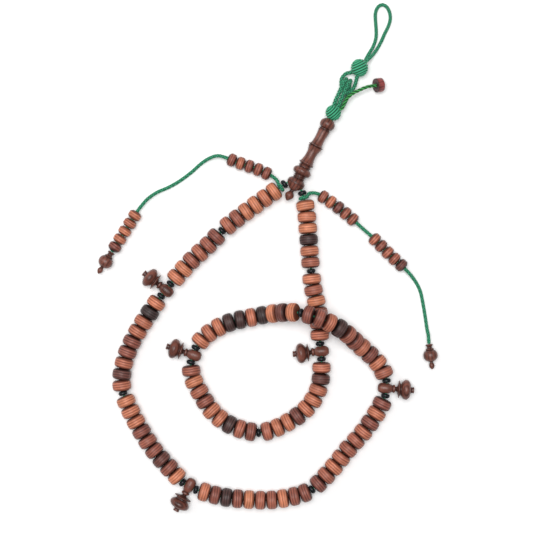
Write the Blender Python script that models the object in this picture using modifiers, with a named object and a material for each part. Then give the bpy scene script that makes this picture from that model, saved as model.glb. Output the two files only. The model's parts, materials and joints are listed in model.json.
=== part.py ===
"""A misbaha: one strand of 100 wooden beads on a string that is tied above a turned imame.

Lengths are in millimetres and become metres where geometry is made. The model lies on z = 0
with the imame pointing away from the viewer, along +Y and a little to +X.
"""

import math

import bmesh
import bpy
import numpy as np
from mathutils import Matrix, Vector

MM = 0.001
GAP = 0.3  # clearance between neighbouring pieces

# Main beads: a short drum with chamfered rims, threaded face to face.
BEAD_DIAMETER = 8.0
BEAD_LENGTH = 4.9
BEAD_LAND = 3.12  # length of the full-diameter band
BEAD_FACE_DIAMETER = 5.6
BEAD_SIDES = 10
SECTION_BEADS = (12, 18, 20, 20, 18, 12)
STRING_DIAMETER = 1.0
STRING_BORE = 1.8

SPACER_DIAMETER = 3.9
SPACER_LENGTH = 1.9
SPACER_FACE_DIAMETER = 2.4

# Counter beads, five in each group and two groups on each counter cord.
CORD_DIAMETER = 1.6
COUNTER_DIAMETER = 5.6
COUNTER_LENGTH = 3.7
COUNTER_LAND = 2.2
COUNTER_FACE_DIAMETER = 3.8
COUNTER_BORE = 2.2
GROUP_BEADS = 5

# Turned markers that divide the strand, measured from the string along the marker's own axis.
MARKER_DRUM_RADIUS = 2.05
MARKER_BULB_RADIUS = 4.3
MARKER_BULB_AT = 8.6
MARKER_LENGTH = 12.1
MARKER_SIDES = (-1, -1, -1, -1, 1)  # which side of the strand each marker points to

# The imame, measured from its drop-shaped tip.
IMAME_TIP = (7.8, 24.3)
IMAME_ANGLE = math.radians(61.8)
IMAME_LENGTH = 39.5
IMAME_BULB_RADIUS = 3.95
IMAME_BORE = 2.6
IMAME_BORE_FROM = 9.6  # where the two string holes meet
IMAME_MOUTH = (6.6, 3.75)  # where a string leaves its side hole: along the axis, and aside
STRING_LEGS_APART = 1.2

PENDANT_BALL_RADIUS = 3.1
PENDANT_LENGTH = 10.9
DISC_DIAMETER = 6.0
DISC_LENGTH = 3.0
DISC_LAND = 2.2
DISC_BORE = 2.1
DISC_TILT = math.radians(23)
DISC_TRAVEL = 2.6  # how far the disc bead can slide along the straight end of its cord
TAIL_DIAMETER = 1.5
LOWER_KNOT_RADIUS = 3.3
TOP_KNOT_RADIUS = 3.7
LOOP_PAIR_APART = 1.9

WOODS = {
    "light_wood": (0.62, 0.23, 0.12),
    "dark_wood": (0.16, 0.05, 0.035),
    "turned_wood": (0.17, 0.055, 0.04),
    "red_wood": (0.3, 0.06, 0.04),
}

# Route of the string between the imame's left and right mouths: x, y, and how far it is raised,
# as a share of what it takes to pass over another stretch of beads.
STRAND_ROUTE = [
    (3.1, 28.6, 0), (-5.1, 22.8, 0), (-13.2, 16.8, 0), (-19.7, 11.6, 0),
    (-25.5, 5.4, 0), (-32.9, -1.2, 0), (-39.6, -8.7, 0), (-43.8, -13.6, 0), (-47.9, -19.2, 0),
    (-53.4, -27.4, 0), (-58.5, -36.0, 0), (-62.1, -45.2, 0), (-63.2, -55.8, 0),
    (-59.1, -66.7, 0), (-54.4, -75.3, 0), (-49.0, -83.6, 0), (-42.4, -90.9, 0),
    (-35.4, -98.2, 0), (-28.8, -100.7, 0), (-19.5, -103.2, 0), (-9.8, -104.2, 0),
    (0.5, -104.6, 0), (10.0, -103.1, 0), (18.2, -100.3, 0), (27.6, -90.9, 0),
    (33.7, -83.1, 0), (40.3, -75.9, 0), (46.1, -67.7, 0), (49.0, -62.8, 0), (50.7, -57.6, 0),
    (50.6, -52.5, 0), (48.7, -47.7, 0), (45.3, -43.5, 0), (37.9, -36.9, 0.18), (31.5, -31.1, 0.72),
    (23.0, -26.5, 1), (18.5, -25.0, 0.99), (11.5, -23.5, 0.72), (1.5, -24.3, 0.08), (-7.9, -26.1, 0),
    (-17.5, -28.3, 0), (-25.7, -32.7, 0), (-29.8, -36.7, 0), (-32.6, -41.7, 0),
    (-33.5, -47.4, 0), (-32.4, -53.2, 0), (-29.6, -57.9, 0), (-24.3, -66.5, 0), (-16.0, -72.6, 0),
    (-6.4, -75.4, 0), (0.3, -74.8, 0), (9.2, -70.6, 0), (17.4, -64.2, 0), (22.1, -55.2, 0),
    (22.8, -44.8, 0), (22.2, -38.6, 0), (22.0, -32.6, 0), (21.3, -22.1, 0), (19.0, -13.1, 0),
    (18.2, -4.6, 0), (17.2, 8.5, 0), (16.4, 18.4, 0), (15.7, 23.4, 0),
]  # fmt: skip

LYING = CORD_DIAMETER / 2  # height of a cord that lies on the surface
THREADED = COUNTER_DIAMETER / 2  # height of a cord inside its counter beads
HUNG = PENDANT_BALL_RADIUS  # height of a cord where it meets its pendant

LEFT_CORD = {
    "route": [
        (3.4, 33.3, 3.4), (0.7, 35.3, THREADED), (-5.1, 38.0, THREADED),
        (-12.9, 40.6, THREADED), (-18.6, 42.9, THREADED), (-22.3, 43.6, THREADED), (-26.2, 42.3, 1.5),
        (-29.6, 40.0, LYING), (-33.4, 36.6, LYING), (-38.4, 32.9, LYING), (-43.3, 30.1, LYING),
        (-48.2, 27.9, 1.4), (-52.1, 25.0, THREADED), (-55.2, 21.5, THREADED),
        (-57.0, 18.9, THREADED), (-61.4, 11.9, THREADED), (-65.8, 5.0, THREADED),
        (-66.9, 3.2, HUNG), (-67.4, 2.3, HUNG),
    ],
    "groups": (5.3, -20.4),
}  # fmt: skip
RIGHT_CORD = {
    "route": [
        (17.6, 27.4, 3.2), (20.4, 27.5, THREADED), (23.2, 26.2, THREADED),
        (30.4, 21.1, THREADED), (36.5, 16.0, THREADED), (40.9, 12.0, THREADED),
        (45.4, 8.0, THREADED), (51.0, 2.2, THREADED), (56.9, -3.2, THREADED),
        (59.6, -5.9, THREADED), (61.6, -8.1, 2.3), (64.0, -11.3, LYING), (65.7, -15.0, LYING),
        (66.8, -20.0, LYING), (67.8, -26.0, LYING), (68.5, -31.0, 1.2), (68.9, -33.8, 2.8),
        (69.05, -36.3, HUNG), (69.1, -37.3, HUNG),
    ],
    "groups": (6.3, 35.1),
}  # fmt: skip

# The knots and cords above the imame: x and y from its top end, and z from the surface.
TOP_KNOT = (12.7, 22.3, 3.7)
PAIR_ROUTE = [
    (2.1, 4.1, 4.4), (3.1, 7.3, 4.9), (4.7, 10.9, 5.0), (6.1, 14.1, 4.9),
    (7.4, 16.3, 4.3), (8.0, 17.2, 2.9), (7.8, 16.2, 1.3), (7.4, 13.7, 0.9),
    (6.7, 10.7, 0.9), (5.4, 7.5, 1.5), (3.4, 4.8, 2.6),
]  # fmt: skip
LINK_ROUTE = [
    (12.1, 21.5, 3.3), (9.6, 20.5, 3.0), (7.0, 19.9, 2.9), (5.2, 17.9, 2.75),
    (4.9, 15.2, 2.55), (5.4, 12.9, 2.7), (6.9, 11.6, 2.9), (8.9, 12.2, 2.8),
    (10.5, 14.3, 2.7), (11.3, 16.8, 2.8), (11.9, 19.3, 3.0), (12.4, 21.3, 3.3),
]  # fmt: skip
HANGING_ROUTE = [
    (15.2, 25.5, 2.2), (16.5, 28.0, 1.2), (17.8, 30.2, LYING), (18.9, 32.1, LYING),
    (20.0, 35.6, LYING), (20.1, 39.1, LYING), (19.8, 43.3, LYING), (19.8, 46.5, LYING),
    (20.9, 49.0, LYING), (22.8, 50.0, LYING), (24.7, 49.0, LYING), (25.9, 46.7, LYING),
    (26.2, 43.8, LYING), (25.4, 40.8, LYING), (23.7, 37.3, LYING), (22.3, 34.1, LYING),
    (20.7, 31.2, 0.9), (18.7, 28.3, 2.4), (16.4, 25.8, 4.5),
]  # fmt: skip
TAIL_ROUTE = [
    (5.3, 4.9, 4.7), (6.2, 7.1, 5.2), (7.3, 8.9, 5.3), (8.7, 10.3, 5.4),
    (10.5, 11.5, 5.4), (12.5, 12.4, 5.5), (14.5, 13.3, 5.6), (16.5, 14.0, 5.3),
]  # fmt: skip
DISC_AT = (21.0, 14.9)


# Paths


def smooth(points, lowest, steps=12):
    """A smooth curve through the points, as a dense list that stays above the lowest height."""
    knots = np.array(points, float)
    knots = np.vstack([2 * knots[0] - knots[1], knots, 2 * knots[-1] - knots[-2]])
    dense = []
    for before, start, end, after in zip(knots, knots[1:], knots[2:], knots[3:]):
        for step in range(steps):
            t = step / steps
            dense.append(
                start
                + t * (end - before) / 2
                + t * t * (before - 2.5 * start + 2 * end - after / 2)
                + t**3 * (1.5 * (start - end) + (after - before) / 2)
            )
    dense.append(knots[-2])
    path = np.array(dense)
    path[:, 2] = np.maximum(path[:, 2], lowest)
    return path


def lengths_along(path):
    return np.concatenate([[0], np.cumsum(np.linalg.norm(np.diff(path, axis=0), axis=1))])


def at(path, distance):
    """The point at this distance along the path."""
    along = lengths_along(path)
    return Vector([np.interp(distance, along, path[:, axis]) for axis in range(3)])


def between(start, end, longest):
    """Distances from start to end, in equal steps no longer than longest."""
    return list(np.linspace(start, end, max(1, math.ceil((end - start) / longest)) + 1))


def fitted_strand(length):
    """The strand's route, enlarged about its ends at the imame until it is as long as the beads."""
    along, aside = IMAME_MOUTH
    ends = [(*imame_point(along, side * aside)[:2], 0) for side in (1, -1)]
    route = np.array([ends[0], *STRAND_ROUTE, ends[1]])
    centre = (route[0, :2] + route[-1, :2]) / 2
    raised = BEAD_DIAMETER + 3 * GAP
    heights = BEAD_DIAMETER / 2 + raised * route[:, 2]
    factor = 1.0
    for _ in range(6):
        spread = centre + factor * (route[:, :2] - centre)
        spread[[0, -1]] = route[[0, -1], :2]
        path = smooth(np.column_stack([spread, heights]), BEAD_DIAMETER / 2)
        slope = np.gradient(path[:, 2], lengths_along(path))
        path[:, 2] += BEAD_LAND / 2 * np.abs(slope)  # a leaning bead stands on one rim
        factor *= length / lengths_along(path)[-1]
    return path


# Blender objects


def collection(name):
    made = bpy.data.collections.new(name)
    bpy.context.scene.collection.children.link(made)
    return made


def material(name, colour, roughness, metallic=0.0):
    made = bpy.data.materials.new(name)
    made.use_nodes = True
    shader = made.node_tree.nodes["Principled BSDF"]
    shader.inputs["Base Color"].default_value = (*colour, 1)
    shader.inputs["Roughness"].default_value = roughness
    shader.inputs["Metallic"].default_value = metallic
    return made


def add(name, data, finish, placed=None):
    """An object of the part, with its origin and direction from a matrix in millimetres."""
    obj = bpy.data.objects.new(name, data)
    obj.data.materials.append(finish)
    if placed is not None:
        obj.matrix_world = metres(placed)
    parts.objects.link(obj)
    obj.parent = root
    return obj


def metres(placed):
    moved = placed.copy()
    moved.translation = placed.translation * MM
    return moved


def facing(origin, z_axis, x_hint=Vector((0, 0, 1))):
    """A matrix at origin whose Z runs along z_axis and whose X is as near x_hint as it can be."""
    z = z_axis.normalized()
    y = z.cross(x_hint).normalized()
    x = y.cross(z)
    placed = Matrix((x, y, z)).transposed().to_4x4()
    placed.translation = origin
    return placed


def tube_curve(name, points, diameter, sides, radii=None, turn=0.0):
    """A tube through the points, with its own radius at each point if radii are given."""
    curve = bpy.data.curves.new(name, "CURVE")
    curve.dimensions = "3D"
    curve.twist_mode = "Z_UP"
    curve.bevel_depth = diameter / 2 * MM
    curve.bevel_resolution = (sides - 4) // 2
    curve.use_fill_caps = True
    spline = curve.splines.new("POLY")
    spline.points.add(len(points) - 1)
    for place, point in enumerate(points):
        spline.points[place].co = (*(Vector(point) * MM), 1)
        spline.points[place].tilt = turn
        if radii:
            spline.points[place].radius = radii[place] / (diameter / 2)
    return curve


def closed_mesh(obj):
    """Turns a curve object into a mesh object with its end caps welded on."""
    bpy.context.view_layer.update()
    graph = bpy.context.evaluated_depsgraph_get()
    mesh = bpy.data.meshes.new_from_object(obj.evaluated_get(graph))
    shell = bmesh.new()
    shell.from_mesh(mesh)
    bmesh.ops.remove_doubles(shell, verts=shell.verts, dist=1e-7)
    shell.to_mesh(mesh)
    shell.free()
    name = obj.name
    placed = obj.matrix_world.copy()
    finish = obj.data.materials[0] if obj.data.materials else None
    home = obj.users_collection[0]
    bpy.data.objects.remove(obj)
    made = bpy.data.objects.new(name, mesh)
    if finish and not mesh.materials:
        mesh.materials.append(finish)
    made.matrix_world = placed
    home.objects.link(made)
    made.parent = root
    return made


def cutter(name, data, placed=None):
    obj = bpy.data.objects.new(name, data)
    if placed is not None:
        obj.matrix_world = metres(placed)
    cutters.objects.link(obj)
    obj.parent = root
    return hide_cutter(obj)


def hide_cutter(obj):
    obj.hide_render = True
    obj.display_type = "WIRE"
    return obj


def combine(obj, tool, operation):
    change = obj.modifiers.new(tool.name, "BOOLEAN")
    change.operation = operation
    change.object = tool
    return obj


def rod(name, start, end, diameter, sides=12):
    """A straight cutter between two points."""
    bpy.ops.mesh.primitive_cylinder_add(
        vertices=sides, radius=diameter / 2 * MM, depth=(end - start).length * MM
    )
    made = bpy.context.object
    made.name = name
    made.matrix_world = metres(facing((start + end) / 2, end - start, Vector((0.1, 0.2, 1))))
    for home in made.users_collection:
        home.objects.unlink(made)
    cutters.objects.link(made)
    made.parent = root
    return hide_cutter(made)


def bulge(centre, half_length, radius, start, end, count=4):
    """Part of an ellipse turned about the axis, as (place, radius) points."""
    places = np.linspace(start, end, count)
    return [(p, radius * math.sqrt(max(0, 1 - ((p - centre) / half_length) ** 2))) for p in places]


def turned_mesh(name, outline, closed=False):
    """The edges of a turned shape's outline, given as (place, radius) from its low end up."""
    top_down = [(radius * MM, 0, place * MM) for place, radius in reversed(outline)]
    mesh = bpy.data.meshes.new(name)
    edges = [(i, i + 1) for i in range(len(top_down) - 1)]
    if closed:
        edges.append((len(top_down) - 1, 0))
    mesh.from_pydata(top_down, edges, [])
    return mesh


def turn(obj, sides):
    """Spins an outline about the object's Z axis."""
    screw = obj.modifiers.new("turned", "SCREW")
    screw.steps = screw.render_steps = sides
    screw.use_merge_vertices = True
    screw.merge_threshold = 1e-6
    screw.use_smooth_shade = True
    return obj


def drum_outline(length, land, diameter, face, bore):
    """A bored drum with chamfered rims, as a closed outline."""
    half = [(-length / 2, bore / 2), (-length / 2, face / 2), (-land / 2, diameter / 2)]
    return half + [(-place, radius) for place, radius in reversed(half)]


# The strand


def plan_strand():
    """Where each piece lies along the strand, as distances from the imame."""
    plan = {"spacers": {}, "eyes": [], "markers": [], "runs": [], "string": [0.0]}
    cursor = 0.0

    def put(length):
        nonlocal cursor
        middle = cursor + length / 2
        cursor += length + GAP
        plan["string"].append(middle)
        return middle

    def spacer(name, marker_side=0):
        plan["spacers"][name] = (put(SPACER_LENGTH), marker_side)

    spacer("imame_spacer_left")
    plan["eyes"].append(put(CORD_DIAMETER))
    last = len(SECTION_BEADS)
    for section, beads in enumerate(SECTION_BEADS, 1):
        for half in "ab":
            rings = []
            for bead in range(beads // 2):
                rings += bead_rings(cursor)
                if bead % 2 == 0 or bead == beads // 2 - 1:
                    plan["string"].append(cursor + BEAD_LENGTH / 2)
                cursor += BEAD_LENGTH
            if half == "a":
                rings += spacer_rings(cursor)
                plan["string"].append(cursor + SPACER_LENGTH / 2)
                cursor += SPACER_LENGTH
            else:
                rings.append((cursor, BEAD_FACE_DIAMETER / 2))
            plan["runs"].append((f"beads_{section}{half}", rings))
            cursor += GAP
        if section < last:
            spacer(f"spacer_{section}_in", 1)
            plan["markers"].append(cursor + MARKER_DRUM_RADIUS)
            cursor += 2 * MARKER_DRUM_RADIUS + GAP
            spacer(f"spacer_{section}_out", -1)
    plan["eyes"].append(put(CORD_DIAMETER))
    spacer("imame_spacer_right")
    plan["length"] = cursor - GAP
    plan["string"].append(plan["length"])
    return plan


def bead_rings(start):
    edge = (BEAD_LENGTH - BEAD_LAND) / 2
    return [
        (start, BEAD_FACE_DIAMETER / 2),
        (start + edge, BEAD_DIAMETER / 2),
        (start + edge + BEAD_LAND, BEAD_DIAMETER / 2),
    ]


def spacer_rings(start):
    """The last bead's face and the spacer that sits against it."""
    return [
        (start, BEAD_FACE_DIAMETER / 2),
        (start + 0.05, SPACER_FACE_DIAMETER / 2),
        (start + SPACER_LENGTH / 2, SPACER_DIAMETER / 2),
        (start + SPACER_LENGTH, SPACER_FACE_DIAMETER / 2),
    ]


def imame_point(along, aside=0.0):
    """A point in the imame's frame: along its axis from the tip, and to its left."""
    x = IMAME_TIP[0] + along * math.cos(IMAME_ANGLE) - aside * math.sin(IMAME_ANGLE)
    y = IMAME_TIP[1] + along * math.sin(IMAME_ANGLE) + aside * math.cos(IMAME_ANGLE)
    return Vector((x, y, BEAD_DIAMETER / 2))


def string_leg(side):
    """One end of the string inside the imame, from its side hole to the knot above it."""
    aside = side * STRING_LEGS_APART / 2
    return [imame_point(IMAME_BORE_FROM, aside), imame_point(IMAME_LENGTH - GAP, aside)]


def make_string(path, plan):
    inner = [at(path, distance) for distance in plan["string"]]
    points = string_leg(1)[::-1] + inner + string_leg(-1)
    add("main_string", tube_curve("main_string", points, STRING_DIAMETER, 8), cord_green)


def make_run(name, rings, path, plan, finish):
    """Beads threaded face to face, as one solid, with the string's bore cut through them."""
    turn_flat = math.pi / BEAD_SIDES if BEAD_SIDES % 4 == 0 else 0.0  # to rest on a flat
    spread = 1 / math.cos(math.pi / BEAD_SIDES)
    points = [at(path, distance) for distance, _ in rings]
    radii = [radius * spread for _, radius in rings]
    curve = tube_curve(name, points, BEAD_DIAMETER, BEAD_SIDES, radii, turn_flat)
    run = closed_mesh(add(name, curve, finish))
    stations = plan["string"]
    first = max(i for i, s in enumerate(stations) if s < rings[0][0])
    last = min(i for i, s in enumerate(stations) if s > rings[-1][0])
    bored = [at(path, distance) for distance in stations[first : last + 1]]
    bore = closed_mesh(cutter(f"{name}_bore", tube_curve(name, bored, STRING_BORE, 6)))
    return combine(run, hide_cutter(bore), "DIFFERENCE")


def make_spacer(name, distance, marker_side, path):
    """A faceted rondelle. Beside a marker it lies halfway between the marker and the next bead."""
    reach = SPACER_LENGTH / 2
    more = MARKER_DRUM_RADIUS + GAP
    before, after = reach + more * (marker_side < 0), reach + more * (marker_side > 0)
    ahead = at(path, distance + after) - at(path, distance - before)
    outline = drum_outline(
        SPACER_LENGTH, 0, SPACER_DIAMETER, SPACER_FACE_DIAMETER, STRING_BORE
    )
    del outline[3]  # the two halves share their widest point
    mesh = turned_mesh(name, outline, closed=True)
    return turn(add(name, mesh, jet, facing(at(path, distance), ahead)), 8)


def marker_outline():
    drum = [(-3.6, 0), (-3.6, 1.1), (-3.3, 1.7), (-2.0, MARKER_DRUM_RADIUS - 0.01)]
    drum += [(0, MARKER_DRUM_RADIUS), (1.5, 1.9), (2.9, 1.5), (3.5, 1.6), (3.9, 1.6)]
    collar = [(4.1, 0.8), (4.6, 0.8), (5.0, 1.8), (5.55, 3.8), (5.75, 3.8), (6.0, 2.7), (6.5, 2.5)]
    bulb = bulge(
        MARKER_BULB_AT, 2.25, MARKER_BULB_RADIUS, MARKER_BULB_AT - 1.7, MARKER_BULB_AT + 1.7, 5
    )
    return drum + collar + bulb + [(10.8, 1.3), (MARKER_LENGTH, 1.35), (MARKER_LENGTH, 0)]


def make_marker(number, distance, path):
    reach = MARKER_DRUM_RADIUS + GAP + SPACER_LENGTH / 2
    before = at(path, distance - reach)
    after = at(path, distance + reach)
    ahead = (after - before).normalized()
    middle = (before + after) / 2
    level = Vector((0, 0, 1)).cross(ahead).normalized() * MARKER_SIDES[number - 1]
    pitch = math.asin((MARKER_BULB_RADIUS - BEAD_DIAMETER / 2) / MARKER_BULB_AT)
    axis = level * math.cos(pitch) + Vector((0, 0, 1)) * math.sin(pitch)
    name = f"marker_{number}"
    mesh = turned_mesh(name, marker_outline())
    marker = turn(add(name, mesh, turned_wood, facing(middle, axis, ahead)), 10)
    reach = ahead * 2 * MARKER_DRUM_RADIUS
    return combine(
        marker, rod(f"{name}_bore", middle - reach, middle + reach, STRING_BORE), "DIFFERENCE"
    )


# The imame


def imame_outline():
    tip = [(0, 0), (0.9, 1.0), (2.0, 1.85), (2.9, 1.9), (3.7, 1.5), (4.3, 0.9), (4.9, 0.8)]
    bulb = [(5.3, 1.4), (6.0, 2.2)] + bulge(8.2, 2.6, IMAME_BULB_RADIUS, 7.0, 9.8, 5)
    neck = [(10.5, 2.55), (10.9, 2.3), (11.6, 2.6), (12.2, 2.3)]
    middle = bulge(14.1, 2.5, 4.0, 12.6, 15.7, 5)
    lower = [(16.0, 2.4), (17.0, 2.6), (17.7, 3.3), (18.1, 3.3), (18.3, 2.95), (20.0, 2.4)]
    lower += [(22.1, 2.2), (24.0, 2.35), (25.3, 2.8), (25.8, 3.0), (26.1, 2.5), (26.5, 3.3)]
    upper = [(26.9, 2.7), (28.5, 2.3), (30.4, 2.2), (32.5, 2.3), (34.0, 2.6), (34.3, 2.2)]
    ball_at = IMAME_LENGTH - 2.3
    ball = bulge(ball_at, 2.5, 3.3, ball_at - 2.2, ball_at + 2.3, 6)
    return tip + bulb + neck + middle + lower + upper + [(34.7, 2.4)] + ball + [(IMAME_LENGTH, 0)]


def make_imame():
    up_axis = imame_point(1) - imame_point(0)
    mesh = turned_mesh("imame", imame_outline())
    imame = turn(add("imame", mesh, turned_wood, facing(imame_point(0), up_axis)), 14)
    long_bore = rod(
        "imame_long_bore", imame_point(IMAME_BORE_FROM - 0.8), imame_point(IMAME_LENGTH + 2), IMAME_BORE
    )
    combine(imame, long_bore, "DIFFERENCE")
    for name, side in (("left", 1), ("right", -1)):
        mouth = imame_point(IMAME_MOUTH[0], side * IMAME_MOUTH[1])
        hole = rod(f"imame_{name}_hole", string_leg(side)[0], mouth, STRING_BORE)
        combine(imame, hole, "DIFFERENCE")
    return imame


# The counter cords


def make_counter_cord(side, layout, eye_distance, path):
    """A cord tied round the string by an eye, with two groups of beads and a pendant."""
    eye = at(path, eye_distance)
    ahead = (at(path, eye_distance + 1) - at(path, eye_distance - 1)).normalized()
    rim = STRING_DIAMETER / 2 + GAP + CORD_DIAMETER / 2
    first = Vector(layout["route"][0])
    out = first - eye
    out = (out - ahead * out.dot(ahead)).normalized()
    route = smooth([eye + out * rim, *layout["route"]], LYING)
    total = lengths_along(route)[-1]
    pitch = COUNTER_LENGTH + GAP
    stations = {0.0, total}
    groups = []
    for start in layout["groups"]:
        start = start if start > 0 else total + start
        faces = [start + pitch * i for i in range(GROUP_BEADS + 1)]
        groups.append(faces)
        stations.update(faces)
    edges = [0.0, groups[0][0], groups[0][-1], groups[1][0], groups[1][-1], total]
    for start, end in zip(edges[::2], edges[1::2]):
        stations.update(between(start, end, 2.4 * CORD_DIAMETER))
    ordered = sorted(stations)
    kept = [a for a, b in zip(ordered, ordered[1:]) if b - a > 0.5] + [total]
    name = f"counter_cord_{side}"
    points = [at(route, s) for s in kept]
    cord = closed_mesh(add(name, tube_curve(name, points, CORD_DIAMETER, 8), cord_green))
    bpy.ops.mesh.primitive_torus_add(
        major_radius=rim * MM, minor_radius=CORD_DIAMETER / 2 * MM, major_segments=12,
        minor_segments=8,
    )  # fmt: skip
    ring = bpy.context.object
    ring.name = f"{name}_eye"
    ring.matrix_world = metres(facing(eye, ahead, out))
    for home in ring.users_collection:
        home.objects.unlink(ring)
    cutters.objects.link(ring)
    ring.parent = root
    combine(cord, hide_cutter(ring), "UNION")
    number = 0
    for faces in groups:
        for start, end in zip(faces, faces[1:]):
            number += 1
            make_counter_bead(f"counter_bead_{side}_{number:02}", at(route, start), at(route, end))
    make_pendant(f"pendant_{side}", route)


def make_counter_bead(name, start, end):
    outline = drum_outline(
        COUNTER_LENGTH, COUNTER_LAND, COUNTER_DIAMETER, COUNTER_FACE_DIAMETER, COUNTER_BORE
    )
    mesh = turned_mesh(name, outline, closed=True)
    return turn(add(name, mesh, light_wood, facing((start + end) / 2, end - start)), 8)


def pendant_outline():
    collar = [(0, 0), (0, 1.3), (0.2, 1.6), (0.7, 1.5), (1.2, 1.1), (1.8, 1.3), (2.2, 1.8)]
    ball = bulge(4.9, 2.9, PENDANT_BALL_RADIUS, 2.7, 7.3, 6)
    drop = [(7.7, 0.65), (8.5, 1.1), (9.2, 1.2), (10.1, 0.9), (PENDANT_LENGTH, 0)]
    return collar + ball + drop


def make_pendant(name, route):
    end = Vector(route[-1])
    ahead = end - Vector(route[-6])
    ahead.z = 0
    ahead.normalize()
    mesh = turned_mesh(name, pendant_outline())
    return turn(add(name, mesh, turned_wood, facing(end + ahead * GAP, ahead)), 10)


# The knots, the loops and the tail


def knot_ball(name, centre, radius):
    bpy.ops.mesh.primitive_uv_sphere_add(segments=12, ring_count=8, radius=radius * MM)
    made = bpy.context.object
    made.name = name
    made.location = Vector(centre) * MM
    made.data.materials.append(cord_green)
    for home in made.users_collection:
        home.objects.unlink(made)
    parts.objects.link(made)
    made.parent = root
    return made


def above(point):
    """A point of the knots and cords, whose x and y are given from the imame's top end."""
    top = imame_point(IMAME_LENGTH)
    return Vector((top.x + point[0], top.y + point[1], point[2]))


def every(route, spacing):
    """Points read from a smooth route above the imame, at an even spacing."""
    dense = smooth([above(point) for point in route], LYING)
    return [at(dense, s) for s in between(0, lengths_along(dense)[-1], spacing)]


def beside(points, distance):
    """The same path moved sideways in plan, by one direction for the whole of it."""
    ahead = (points[len(points) // 3] - points[0]).normalized()
    aside = Vector((ahead.y, -ahead.x, 0)).normalized()
    return [point + aside * distance for point in points]


def make_knots():
    centre = imame_point(IMAME_LENGTH + GAP + LOWER_KNOT_RADIUS)
    lower = knot_ball("lower_knot", centre, LOWER_KNOT_RADIUS)
    pair = every(PAIR_ROUTE, 2.0)
    for name, aside in (("outer", -LOOP_PAIR_APART / 2), ("inner", LOOP_PAIR_APART / 2)):
        curve = tube_curve(name, beside(pair, aside), CORD_DIAMETER, 8)
        combine(lower, hide_cutter(closed_mesh(cutter(f"pair_{name}", curve))), "UNION")
    top = knot_ball("top_knot", above(TOP_KNOT), TOP_KNOT_RADIUS)
    curve = tube_curve("link", every(LINK_ROUTE, 2.4), CORD_DIAMETER, 8)
    combine(top, hide_cutter(closed_mesh(cutter("link", curve))), "UNION")
    loop = tube_curve("hanging_loop", every(HANGING_ROUTE, 2.4), CORD_DIAMETER, 8)
    add("hanging_loop", loop, cord_green)


def make_tail():
    """The twisted cord and the disc bead near its end, which stands on its rim and leans."""
    rest = DISC_DIAMETER / 2 * math.cos(DISC_TILT) + DISC_LAND / 2 * math.sin(DISC_TILT)
    centre = above((*DISC_AT, rest))
    level = (centre - above(TAIL_ROUTE[-1])) * Vector((1, 1, 0))
    axis = level.normalized() * math.cos(DISC_TILT) - Vector((0, 0, 1)) * math.sin(DISC_TILT)
    outline = drum_outline(DISC_LENGTH, DISC_LAND, DISC_DIAMETER, 5.2, DISC_BORE)
    mesh = turned_mesh("disc_bead", outline, closed=True)
    turn(add("disc_bead", mesh, red_wood, facing(centre, axis)), 14)
    before = centre - axis * (DISC_LENGTH / 2 + DISC_TRAVEL)
    dense = smooth([*(above(point) for point in TAIL_ROUTE), before], LYING)
    points = [at(dense, s) for s in between(0, lengths_along(dense)[-1], 2.2)]
    points.append(centre + axis * DISC_LENGTH / 2)
    add("tail_cord", tube_curve("tail_cord", points, TAIL_DIAMETER, 8), tail_green)


def settle():
    """Moves everything so that the origin is under the middle of what isn't a hanging cord."""
    loose = ("counter_", "pendant_")
    bpy.context.view_layer.update()
    graph = bpy.context.evaluated_depsgraph_get()
    corners = []
    for obj in parts.objects:
        if obj == root or obj.name.startswith(loose):
            continue
        shape = obj.evaluated_get(graph).to_mesh()
        flat = np.empty(3 * len(shape.vertices), np.float32)
        shape.vertices.foreach_get("co", flat)
        turn_matrix = np.array(obj.matrix_world)
        placed = flat.reshape(-1, 3) @ turn_matrix[:3, :3].T + turn_matrix[:3, 3]
        corners += [placed.min(axis=0), placed.max(axis=0)]
        obj.evaluated_get(graph).to_mesh_clear()
    low, high = np.min(corners, axis=0), np.max(corners, axis=0)
    root.location = (-(low[0] + high[0]) / 2, -(low[1] + high[1]) / 2, -low[2])
    bpy.context.view_layer.update()


for stale in list(bpy.data.objects):
    bpy.data.objects.remove(stale)
parts = collection("misbaha")
cutters = collection("cutters")
root = bpy.data.objects.new("misbaha_root", None)
parts.objects.link(root)

light_wood = material("light_wood", WOODS["light_wood"], 0.45)
dark_wood = material("dark_wood", WOODS["dark_wood"], 0.4)
turned_wood = material("turned_wood", WOODS["turned_wood"], 0.35)
red_wood = material("red_wood", WOODS["red_wood"], 0.35)
jet = material("black_spacer", (0.012, 0.011, 0.014), 0.18)
cord_green = material("green_cord", (0.03, 0.3, 0.15), 0.85)
tail_green = material("tail_cord", (0.06, 0.36, 0.1), 0.8)

strand_plan = plan_strand()
strand_path = fitted_strand(strand_plan["length"])
for place, (run_name, run_rings) in enumerate(strand_plan["runs"]):
    run_finish = light_wood if place % 2 else dark_wood
    make_run(run_name, run_rings, strand_path, strand_plan, run_finish)
for spacer_name, (spacer_at, beside_marker) in strand_plan["spacers"].items():
    make_spacer(spacer_name, spacer_at, beside_marker, strand_path)
for marker_number, marker_at in enumerate(strand_plan["markers"], 1):
    make_marker(marker_number, marker_at, strand_path)
make_string(strand_path, strand_plan)
make_imame()
make_counter_cord("left", LEFT_CORD, strand_plan["eyes"][0], strand_path)
make_counter_cord("right", RIGHT_CORD, strand_plan["eyes"][1], strand_path)
make_knots()
make_tail()
settle()
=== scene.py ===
import json
import math
import random

import bmesh
import bpy
import numpy as np
from mathutils import Matrix, Vector
from mathutils.kdtree import KDTree

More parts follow.
